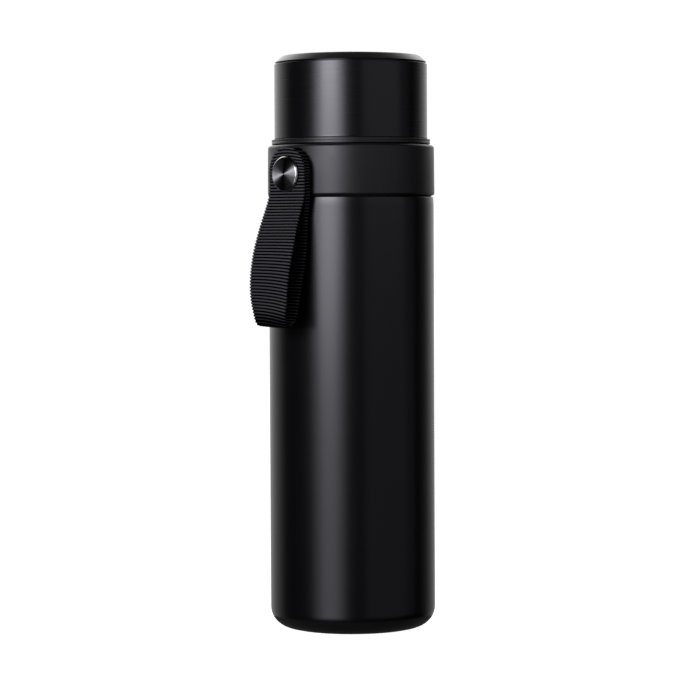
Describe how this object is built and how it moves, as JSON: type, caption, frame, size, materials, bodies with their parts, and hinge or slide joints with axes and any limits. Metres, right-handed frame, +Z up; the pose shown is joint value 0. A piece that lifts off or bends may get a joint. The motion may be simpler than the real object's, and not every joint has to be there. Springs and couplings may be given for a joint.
{
  "type": "insulated water bottle",
  "caption": "Tall double-walled steel bottle with a screw-on drinking collar, a pivoted webbing carry loop and a screw-on metal-sleeved lid.",
  "frame": {"origin": "on the bottle's axis, in the plane that it stands on, at the centre of the base pad", "axes": "+Z up along the bottle's axis; the webbing loop hangs on the -X side, and its pivot screw lies along X"},
  "size_m": [0.0851, 0.0706, 0.242],
  "materials": {
    "satin_black_paint": "satin black paint over fine brushed steel",
    "matte_black_plastic": "fine matte moulded grain",
    "stainless_steel": "bare drawn stainless steel",
    "spun_dark_steel": "spun face with bright bevelled rim",
    "copper_foil": "thin bright copper foil",
    "brass": "turned brass",
    "getter_metal": "dull pressed metal pellet",
    "sealing_glass": "opaque solder glass",
    "black_rubber": "matte non-slip rubber",
    "white_silicone": "translucent white silicone",
    "black_polypropylene": "smooth moulded polypropylene",
    "white_nylon": "natural nylon",
    "white_foam": "expanded insulation foam",
    "black_webbing": "ribbed black webbing"
  },
  "bodies": {
    "bottle": {"outer_shell": "satin_black_paint", "inner_shell": "stainless_steel", "reflective_foil": "copper_foil", "bottom_plate": "stainless_steel", "vacuum_seal": "sealing_glass", "getter": "getter_metal", "base_pad": "black_rubber"},
    "collar_seal": {"collar_gasket": "white_silicone"},
    "collar": {"mouthpiece": "black_polypropylene", "collar_ring": "matte_black_plastic", "threaded_insert": "brass", "pivot_washer": "white_nylon", "pivot_bush": "stainless_steel", "strap_screw": "spun_dark_steel"},
    "strap": {"strap_webbing": "black_webbing"},
    "lid_seal": {"lid_gasket": "white_silicone"},
    "lid": {"lid_liner": "black_polypropylene", "lid_sleeve": "satin_black_paint", "lid_foam": "white_foam", "lid_cap": "matte_black_plastic"}
  },
  "joints": [
    {"name": "collar_lift", "type": "slide", "parent": "bottle", "child": "collar_seal", "axis": [0, 0, 1], "range_m": [0, 0.0201]},
    {"name": "collar_turn", "type": "hinge", "parent": "collar_seal", "child": "collar", "pos_m": [0, 0, 0.19], "axis": [0, 0, 1], "range_deg": [0, 1800]},
    {"name": "lid_lift", "type": "slide", "parent": "collar", "child": "lid_seal", "axis": [0, 0, 1], "range_m": [0, 0.0226]},
    {"name": "lid_turn", "type": "hinge", "parent": "lid_seal", "child": "lid", "pos_m": [0, 0, 0.21], "axis": [0, 0, 1], "range_deg": [0, 900]},
    {"name": "strap_swing", "type": "hinge", "parent": "collar", "child": "strap", "pos_m": [-0.0373, 0, 0.1917], "axis": [1, 0, 0], "range_deg": [-180, 180]}
  ],
  "couplings": [
    {"joint": "collar_lift", "follows": "collar_turn", "m_per_rad": 0.00063662},
    {"joint": "lid_lift", "follows": "lid_turn", "m_per_rad": 0.0014324}
  ]
}
